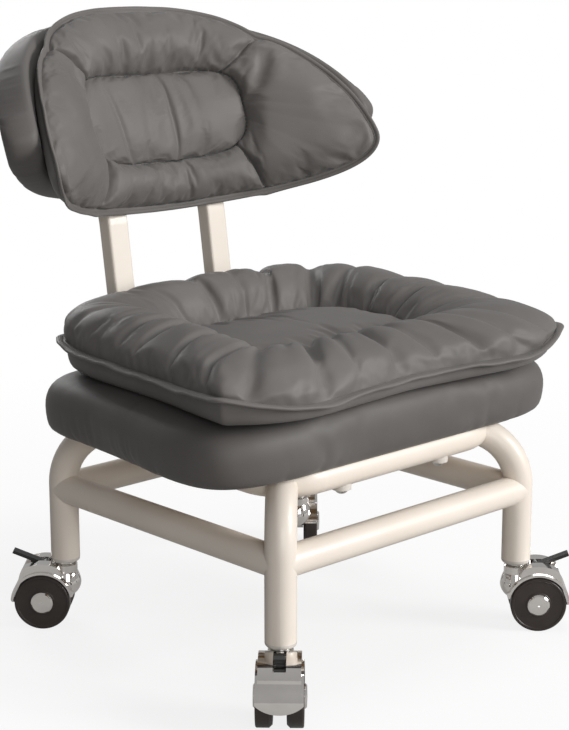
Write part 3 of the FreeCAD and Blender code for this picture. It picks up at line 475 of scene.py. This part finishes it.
def seat_cushion():
    """The cover of the seat cushion."""
    skin = Skin()
    front = through(SEAT_FRONT + mirrored(SEAT_FRONT)[1:])
    left = through(SEAT_SIDE)
    rear = through(SEAT_REAR + mirrored(SEAT_REAR)[1:])
    right = through(mirrored(SEAT_SIDE))
    rim = closed(front, left, rear, right)
    unit = round_box(PANEL_ROUND)
    panel = np.stack(
        [unit[:, 0] * PANEL_HALF_X, PANEL_Y + unit[:, 1] * PANEL_HALF_Y, np.full(len(unit), PANEL_Z)], axis=1
    )
    crest = CUSHION_CREST - CREST_FALL * np.clip(0.5 - rim[:, 1] / CREST_FALL_RUN, 0, 1)
    rise = np.repeat([0, SIDE_RISE, REAR_RISE, SIDE_RISE], SIDE)
    crest += rise * np.sin(math.pi * (PLACE % 1)) ** RISE_POWER
    height = crest - (rim[:, 2] + PANEL_Z) / 2 - SEAT_RISE
    borders, sinks = puffed(rim, panel, height, SEAT_BELLY, SEAT_FOLDS + SEAT_GATHERS, SEAT_SEAM, SEAT_SLOPE)
    start = skin.add(rim)
    rows = skin.rings(start, borders)
    grid = patch(panel)
    grid[..., 2] += PANEL_DOME * DOME
    skin.fill(rows[-1], grid)
    top_end = len(skin.points)
    under = []
    for inset, drop in SEAT_UNDER_RINGS:
        ring = rim * (1 - inset, 1 - inset, 1)
        ring[:, 2] += (PAD_HIGH + SEAT_GAP - rim[:, 2]) * drop
        under.append(ring)
    feet = skin.rings(start, under)
    underside = patch(under[-1])
    underside[..., 2] += UNDER_HOLLOW * DOME
    skin.fill(feet[-1], underside)
    item = skin.mesh("seat_cushion_cover")
    held = np.concatenate([start, rows[-1], np.arange(top_end, len(skin.points))])
    inflate(item, held, CUSHION_PRESSURE, SEAT_REACH, SEAT_SLACK)
    sew(item, len(rim), sinks)
    add_flange(item, flange(rim, SEAT_EDGE_WIDTH, SEAT_EDGE_THICK, SEAT_EDGE_WAVE, SEAT_TIPS))
    finish_soft(item, "seat_cushion")
    return item


# Back: a curved shell of pad behind, and a cushion in front of it
# Places on the back are a distance round it, a height along it and a depth in front of its face.

BACK_Y, BACK_Z, BACK_TILT, BACK_RADIUS = 0.15117, 0.350, math.radians(19), 0.210
BACK_STEPS = 300
BACK_FALL = 0.74  # how roundly the upper edge comes down to the tips
BACK_INSET_RUN = 0.04


def on_back(points):
    """Places on the back as points in the frame."""
    turned = points[..., 0] / BACK_RADIUS
    radius = BACK_RADIUS - points[..., 2]
    forward = BACK_RADIUS - radius * np.cos(turned)
    return np.stack(
        [
            radius * np.sin(turned),
            BACK_Y + points[..., 1] * math.sin(BACK_TILT) - forward * math.cos(BACK_TILT),
            BACK_Z + points[..., 1] * math.cos(BACK_TILT) + forward * math.sin(BACK_TILT),
        ],
        axis=-1,
    )


class BackShape(NamedTuple):
    """Half width, heights of tip, base and top, how full both edges are, and where the wings start."""

    half: float
    tip: float
    base: float
    top: float
    low_full: float
    high_full: float
    low_corner: float
    high_corner: float


def back_edge(shape, inset, depth):
    """A ring round the back, split into its bottom, left wing, top and right wing."""

    def lower(share):
        return shape.tip - (shape.tip - shape.base) * np.sqrt(1 - np.abs(share) ** shape.low_full)

    def upper(share):
        return shape.tip + (shape.top - shape.tip) * (1 - np.abs(share) ** shape.high_full) ** BACK_FALL

    def run(first, last, height):
        turned = np.linspace(np.arcsin(first), np.arcsin(last), BACK_STEPS)
        share = np.sin(turned)
        return np.stack([share * (shape.half - inset), height(share), np.full(BACK_STEPS, depth)], axis=1)

    bottom = run(-shape.low_corner, shape.low_corner, lower)
    wing = np.vstack([run(shape.low_corner, 1, lower), run(1, shape.high_corner, upper)])
    border = run(shape.high_corner, -shape.high_corner, upper)
    other = wing[::-1] * (-1, 1, 1)
    ring = closed(bottom, wing, border, other)
    middle = (shape.tip + shape.top) / 2
    ring[:, 1] += np.clip((middle - ring[:, 1]) / BACK_INSET_RUN, -1, 1) * inset
    return ring


BACK_PAD_SHAPE = BackShape(
    half=0.2045,
    tip=0.060,
    base=0.019,
    top=0.180,
    low_full=4,
    high_full=2.5,
    low_corner=0.5,
    high_corner=0.6,
)
BACK_PAD_FRONT, BACK_PAD_REAR = -0.016, -0.047
BACK_PAD_REACH = 0.0015

# Inset and depth of the pad's rings, from its front to its rear
BACK_PAD_HELD_RINGS = [
    (0.006, BACK_PAD_FRONT),
    (0.0025, BACK_PAD_FRONT - 0.0015),
    (0.0005, BACK_PAD_FRONT - 0.005),
]
BACK_PAD_RINGS = [
    (0, (BACK_PAD_FRONT + BACK_PAD_REAR) / 2),
    (0.0005, BACK_PAD_REAR + 0.007),
    (0.003, BACK_PAD_REAR + 0.003),
    (0.008, BACK_PAD_REAR + 0.0008),
    (0.020, BACK_PAD_REAR),
]


def back_pad():
    """The cover of the back pad."""
    skin = Skin()
    rings = [back_edge(BACK_PAD_SHAPE, *ring) for ring in BACK_PAD_HELD_RINGS + BACK_PAD_RINGS]
    rows = skin.rings(skin.add(rings[0]), rings[1:])
    front_start = len(skin.points)
    skin.fill(rows[0], patch(rings[0]))
    front_end = len(skin.points)
    skin.fill(rows[-1], patch(rings[-1]))
    skin.points = on_back(skin.points)
    item = skin.mesh("back_pad_cover")
    held = np.concatenate([*rows[: len(BACK_PAD_HELD_RINGS)], np.arange(front_start, front_end)])
    inflate(item, held, PAD_PRESSURE, BACK_PAD_REACH)
    finish_soft(item, "back_pad")
    return item


BACK_CUSHION_SHAPE = BackShape(
    half=0.210,
    tip=0.025,
    base=0,
    top=0.187,
    low_full=6,
    high_full=2.35,
    low_corner=0.48,
    high_corner=0.6,
)
BACK_RIM_INSET, BACK_SEAM, BACK_CHANNEL = 0.005, -0.008, -0.002
BACK_GROOVE = 0.003  # how far the seams between panel, roll, border and wings are drawn in
NOTCH, NOTCH_SPREAD = 0.004, 0.04  # how far the rim dips where the border meets a wing
BACK_PANEL_HALF, BACK_PANEL_HIGH, BACK_PANEL_MIDDLE, BACK_PANEL_ROUND = 0.094, 0.040, 0.0825, 4
ROLL_PUFF, WING_PUFF, BORDER_PUFF, PANEL_PUFF = 0.020, 0.016, 0.019, 0.013
SEAM_CLOSE = 8  # how close to a seam the stuffing starts to thin out
BACK_BELLY, BACK_FADE, BACK_REACH, BACK_SLACK = 0.003, 4, 0.005, 0.03
BACK_EDGE_WIDTH, BACK_EDGE_THICK, BACK_EDGE_WAVE = 0.0055, 0.003, 0.0006
BACK_TIPS = (0, 1)
BACK_CORNERS = np.array([0, SIDE, 2 * SIDE, 3 * SIDE])

# Inset and depth of the cushion's rings behind its rim
BACK_REAR_RINGS = ((0.0005, -0.010), (0.002, -0.013), (0.006, -0.0152), (0.014, -0.0157))

BACK_FOLDS = [
    Fold(0.15, 0.03, 0.004, 0.7, 0.5),
    Fold(0.38, 0.03, 0.004, 0.3, 0.9),
    Fold(0.50, 0.035, 0.006, 0.6, 1.0),
    Fold(0.58, 0.025, 0.005, 0.4, 1.0),
    Fold(0.74, 0.04, 0.004, 0.9, 0.3),
    Fold(0.88, 0.03, 0.003, 0.9, 0.2),
    Fold(1.30, 0.02, 0.003, 1.0, 0.1),
    Fold(1.44, 0.02, 0.004, 1.0, 0.1),
    Fold(1.53, 0.018, 0.004, 1.0, 0.15),
    Fold(1.62, 0.02, 0.003, 1.0, 0.1),
    Fold(2.14, 0.03, 0.004, 0.3, 1.0),
    Fold(2.27, 0.035, 0.005, 0.5, 1.0),
    Fold(2.38, 0.025, 0.003, 0.2, 1.0),
    Fold(2.50, 0.035, 0.005, 0.8, 0.9),
    Fold(2.66, 0.03, 0.004, 0.5, 1.0),
    Fold(2.80, 0.03, 0.005, 0.4, 1.0),
    Fold(2.90, 0.025, 0.004, 0.3, 1.0),
    Fold(3.30, 0.03, 0.003, 0.9, 0.3),
    Fold(3.46, 0.02, 0.004, 1.0, 0.1),
    Fold(3.55, 0.02, 0.004, 1.0, 0.1),
    Fold(3.72, 0.025, 0.003, 1.0, 0.1),
]

# Fine folds only on the roll and the top border
BACK_GATHERS = [fold for fold in small_gathers(84, 0.018, 0.002) if int(fold.spot) in (0, 2)]

# Creases down the panel: place across it, slant, width and depth
PANEL_CREASES = [
    (0.24, 0.10, 0.025, 0.0022),
    (0.42, -0.03, 0.03, 0.0014),
    (0.58, 0.02, 0.022, 0.002),
    (0.72, 0.05, 0.03, 0.0014),
]


def back_cushion():
    """The cover of the back cushion."""
    skin = Skin()
    rim = back_edge(BACK_CUSHION_SHAPE, BACK_RIM_INSET, BACK_SEAM)
    dent = NOTCH * (valley(PLACE, 2, NOTCH_SPREAD) + valley(PLACE, 3, NOTCH_SPREAD))
    rim -= outward(rim) * dent[:, None]
    unit = round_box(BACK_PANEL_ROUND)
    panel = np.stack(
        [
            unit[:, 0] * BACK_PANEL_HALF,
            BACK_PANEL_MIDDLE + unit[:, 1] * BACK_PANEL_HIGH,
            np.full(len(unit), BACK_CHANNEL),
        ],
        axis=1,
    )
    puff = np.repeat([ROLL_PUFF, WING_PUFF, BORDER_PUFF, WING_PUFF], SIDE)
    near_seam = np.abs(2 * (PLACE % 1) - 1)
    height = puff * (0.5 + 0.5 * np.sqrt(1 - near_seam**SEAM_CLOSE))
    folds = BACK_FOLDS + BACK_GATHERS
    borders, sinks = puffed(rim, panel, height, BACK_BELLY, folds, BACK_GROOVE, fade=BACK_FADE)
    grooves = np.zeros(4 * SIDE)
    grooves[BACK_CORNERS] = BACK_GROOVE
    sinks += np.tile(grooves, len(borders))
    start = skin.add(rim)
    rows = skin.rings(start, borders)
    grid = patch(panel)
    across, along = SHARE[None, :], SHARE[:, None]
    crease = sum(
        depth * np.exp(-(((across - place - slant * (0.5 - along)) / width) ** 2))
        for place, slant, width, depth in PANEL_CREASES
    )
    grid[..., 2] += PANEL_PUFF * DOME - crease * DOME
    skin.fill(rows[-1], grid)
    top_end = len(skin.points)
    out = outward(rim)
    rear = []
    for inset, depth in BACK_REAR_RINGS:
        ring = rim - out * inset
        ring[:, 2] = depth
        rear.append(ring)
    backs = skin.rings(start, rear)
    skin.fill(backs[-1], patch(rear[-1]))
    skin.points = on_back(skin.points)
    item = skin.mesh("back_cushion_cover")
    seams = [row[BACK_CORNERS] for row in rows]
    held = np.concatenate([start, rows[-1], *seams, np.arange(top_end, len(skin.points))])
    inflate(item, held, CUSHION_PRESSURE, BACK_REACH, BACK_SLACK)
    sew(item, len(rim), sinks)
    edge = flange(rim, BACK_EDGE_WIDTH, BACK_EDGE_THICK, BACK_EDGE_WAVE, BACK_TIPS)
    add_flange(item, [on_back(ring) for ring in edge])
    finish_soft(item, "back_cushion")
    return item


# Finishes


def shader(name, roughness, metallic=0.0, coat=0.0):
    """A new material with its principled shader."""
    finish = bpy.data.materials.new(name)
    finish.use_nodes = True
    main = finish.node_tree.nodes["Principled BSDF"]
    main.inputs["Roughness"].default_value = roughness
    main.inputs["Metallic"].default_value = metallic
    main.inputs["Coat Weight"].default_value = coat
    return finish, finish.node_tree, main


def noise(tree, scale):
    """A noise texture over the object's own places."""
    places = tree.nodes.new("ShaderNodeTexCoord")
    texture = tree.nodes.new("ShaderNodeTexNoise")
    texture.inputs["Scale"].default_value = scale
    texture.inputs["Detail"].default_value = 3.0
    tree.links.new(places.outputs["Object"], texture.inputs["Vector"])
    return texture


def tint(tree, main, texture, dark, light):
    """Colours a shader between two shades by a texture."""
    ramp = tree.nodes.new("ShaderNodeValToRGB")
    ramp.color_ramp.elements[0].position = 0.35
    ramp.color_ramp.elements[1].position = 0.65
    ramp.color_ramp.elements[0].color = (*dark, 1)
    ramp.color_ramp.elements[1].color = (*light, 1)
    tree.links.new(texture.outputs[0], ramp.inputs["Fac"])
    tree.links.new(ramp.outputs["Color"], main.inputs["Base Color"])


def bump(tree, main, texture, strength, distance):
    """Raises a shader's surface by a texture."""
    relief = tree.nodes.new("ShaderNodeBump")
    relief.inputs["Strength"].default_value = strength
    relief.inputs["Distance"].default_value = distance
    tree.links.new(texture.outputs[0], relief.inputs["Height"])
    tree.links.new(relief.outputs["Normal"], main.inputs["Normal"])


def speckled(name, dark, light, roughness, scale, relief, metallic=0.0, coat=0.0):
    """A finish of two close shades with a fine relief."""
    finish, tree, main = shader(name, roughness, metallic, coat)
    tint(tree, main, noise(tree, scale), dark, light)
    bump(tree, main, noise(tree, scale * 8), 0.2, relief)
    return finish


def leather(name, dark, light):
    """Soft leatherette: a fine pebble grain over a slow change of shade."""
    finish, tree, main = shader(name, 0.56)
    main.inputs["Specular IOR Level"].default_value = 0.32
    main.inputs["Sheen Weight"].default_value = 0.05
    tint(tree, main, noise(tree, 14), dark, light)
    places = tree.nodes.new("ShaderNodeTexCoord")
    grain = tree.nodes.new("ShaderNodeTexVoronoi")
    grain.inputs["Scale"].default_value = 900
    tree.links.new(places.outputs["Object"], grain.inputs["Vector"])
    bump(tree, main, grain, 0.12, 0.0004)
    return finish


def plywood(name):
    """Layers of pale veneer."""
    finish, tree, main = shader(name, 0.6)
    places = tree.nodes.new("ShaderNodeTexCoord")
    layers = tree.nodes.new("ShaderNodeTexWave")
    layers.inputs["Scale"].default_value = 40
    layers.inputs["Distortion"].default_value = 3
    tree.links.new(places.outputs["Object"], layers.inputs["Vector"])
    tint(tree, main, layers, (0.45, 0.29, 0.15), (0.6, 0.42, 0.25))
    bump(tree, main, noise(tree, 400), 0.1, 0.0002)
    return finish


FINE_RELIEF = 0.0001
FINISHES = {
    "frame_paint": speckled(
        "frame_paint", (0.79, 0.71, 0.62), (0.84, 0.76, 0.67), 0.42, 9, FINE_RELIEF, coat=0.12
    ),
    "cushion_cover": leather("cushion_cover", (0.116, 0.108, 0.102), (0.142, 0.132, 0.125)),
    "pad_cover": leather("pad_cover", (0.097, 0.089, 0.084), (0.117, 0.109, 0.103)),
    "plywood": plywood("plywood"),
    "zinc_steel": speckled(
        "zinc_steel", (0.55, 0.55, 0.53), (0.68, 0.68, 0.66), 0.35, 60, FINE_RELIEF, metallic=1.0
    ),
    "chrome": speckled(
        "chrome", (0.76, 0.73, 0.70), (0.84, 0.81, 0.78), 0.08, 30, 0.00002, metallic=1.0
    ),
    "wheel_plastic": speckled(
        "wheel_plastic", (0.023, 0.016, 0.013), (0.035, 0.026, 0.022), 0.38, 40, FINE_RELIEF
    ),
    "lever_plastic": speckled(
        "lever_plastic", (0.010, 0.010, 0.010), (0.018, 0.017, 0.016), 0.4, 50, FINE_RELIEF
    ),
    "plug_plastic": speckled(
        "plug_plastic", (0.62, 0.58, 0.53), (0.70, 0.66, 0.60), 0.5, 50, FINE_RELIEF
    ),
}


def paint(item, slot):
    """Gives an object one finish."""
    item.data.materials.clear()
    item.data.materials.append(FINISHES[slot])


node_slots = {part["node"]: part["material_slot"] for part in frame["record"]["subparts"]}
for name, item in frame["nodes"].items():
    for spot in item.material_slots:
        spot.material = FINISHES[node_slots[name]]

paint(seat_pad(), "pad_cover")
paint(seat_cushion(), "cushion_cover")
paint(back_pad(), "pad_cover")
paint(back_cushion(), "cushion_cover")

# Floor, light and camera

FLOOR_REACH = 6
MIRRORED = 0.28  # how bright the white room looks in a glossy surface
SHADOW = 0.22  # how much of the shadow on the floor is seen, fading to none a metre away
SKY_LIGHT, SKY_SEEN = 0.14, 1.0
CAMERA_PLACE, CAMERA_AIM = (-1.043, -1.0963, 0.586), (0, 0, 0.2387)


def scaled(tree, output, factor):
    """A node's output times a number."""
    product = tree.nodes.new("ShaderNodeMath")
    product.operation = "MULTIPLY"
    product.inputs[1].default_value = factor
    tree.links.new(output, product.inputs[0])
    return product.outputs["Value"]


def seen_share(tree):
    """1 where the camera looks, less in mirror images, and 0 for light that is passed on."""
    rays = tree.nodes.new("ShaderNodeLightPath")
    either = tree.nodes.new("ShaderNodeMath")
    either.operation = "MAXIMUM"
    tree.links.new(scaled(tree, rays.outputs["Is Glossy Ray"], MIRRORED), either.inputs[0])
    tree.links.new(rays.outputs["Is Camera Ray"], either.inputs[1])
    return either.outputs["Value"]


def diffuse(tree, colour):
    """A matt shader of one colour."""
    matt = tree.nodes.new("ShaderNodeBsdfDiffuse")
    matt.inputs["Color"].default_value = (*colour, 1)
    return matt.outputs["BSDF"]


def mixed(tree, share, first, second):
    """Two shaders mixed by a share of the second."""
    mix = tree.nodes.new("ShaderNodeMixShader")
    tree.links.new(share, mix.inputs["Fac"])
    tree.links.new(first, mix.inputs[1])
    tree.links.new(second, mix.inputs[2])
    return mix.outputs["Shader"]


def floor_finish():
    """White with a faint shadow near the object where it is seen, and grey for light that it passes on."""
    finish = bpy.data.materials.new("floor_white")
    finish.use_nodes = True
    tree = finish.node_tree
    tree.nodes.clear()
    places = tree.nodes.new("ShaderNodeTexCoord")
    nearness = tree.nodes.new("ShaderNodeTexGradient")
    nearness.gradient_type = "SPHERICAL"
    tree.links.new(places.outputs["Object"], nearness.inputs["Vector"])
    white = tree.nodes.new("ShaderNodeEmission").outputs["Emission"]
    shaded = scaled(tree, nearness.outputs["Fac"], SHADOW)
    seen = mixed(tree, shaded, white, diffuse(tree, (0.9, 0.9, 0.9)))
    ground = mixed(tree, seen_share(tree), diffuse(tree, (0.35, 0.34, 0.33)), seen)
    surface = tree.nodes.new("ShaderNodeOutputMaterial")
    tree.links.new(ground, surface.inputs["Surface"])
    return finish


corners = [(-1, -1), (1, -1), (1, 1), (-1, 1)]
floor_mesh = bpy.data.meshes.new("floor")
floor_mesh.from_pydata([(FLOOR_REACH * x, FLOOR_REACH * y, 0) for x, y in corners], [], [(0, 1, 2, 3)])
floor_mesh.materials.append(floor_finish())
floor = bpy.data.objects.new("floor", floor_mesh)
scene.collection.objects.link(floor)

sky = bpy.data.worlds.new("studio")
scene.world = sky
sky.use_nodes = True
backdrop = sky.node_tree.nodes["Background"]
strength = sky.node_tree.nodes.new("ShaderNodeMapRange")
strength.inputs["To Min"].default_value = SKY_LIGHT
strength.inputs["To Max"].default_value = SKY_SEEN
backdrop.inputs["Color"].default_value = (1, 1, 1, 1)
sky.node_tree.links.new(seen_share(sky.node_tree), strength.inputs["Value"])
sky.node_tree.links.new(strength.outputs["Result"], backdrop.inputs["Strength"])


def turned_to(place, aim):
    """The rotation of a lamp or camera that looks from a place to an aim."""
    return (Vector(aim) - Vector(place)).to_track_quat("-Z", "Y").to_euler()


def soft_light(name, place, aim, size, power):
    """A square lamp at a place, turned to an aim."""
    lamp = bpy.data.lights.new(name, "AREA")
    lamp.size = size
    lamp.energy = power
    item = bpy.data.objects.new(name, lamp)
    item.location = place
    item.rotation_euler = turned_to(place, aim)
    scene.collection.objects.link(item)


soft_light("key", (1.6, -2.5, 1.3), (0, 0, 0.25), 1.1, 82)
soft_light("fill", (-1.0, -1.9, 0.8), (0, 0, 0.25), 1.0, 15)
soft_light("top", (0.3, -0.1, 2.2), (0, 0, 0.3), 0.8, 12)
soft_light("rear", (0.6, 2.6, 1.4), (0, 0, 0.3), 1.2, 24)

camera_data = bpy.data.cameras.new("camera")
camera_data.lens = 90.35
camera_data.sensor_width = 36
camera_data.shift_x = -0.0080
camera_data.shift_y = -0.0109
camera = bpy.data.objects.new("camera", camera_data)
camera.location = CAMERA_PLACE
camera.rotation_euler = turned_to(CAMERA_PLACE, CAMERA_AIM)
scene.collection.objects.link(camera)
scene.camera = camera
scene.view_settings.view_transform = "Standard"
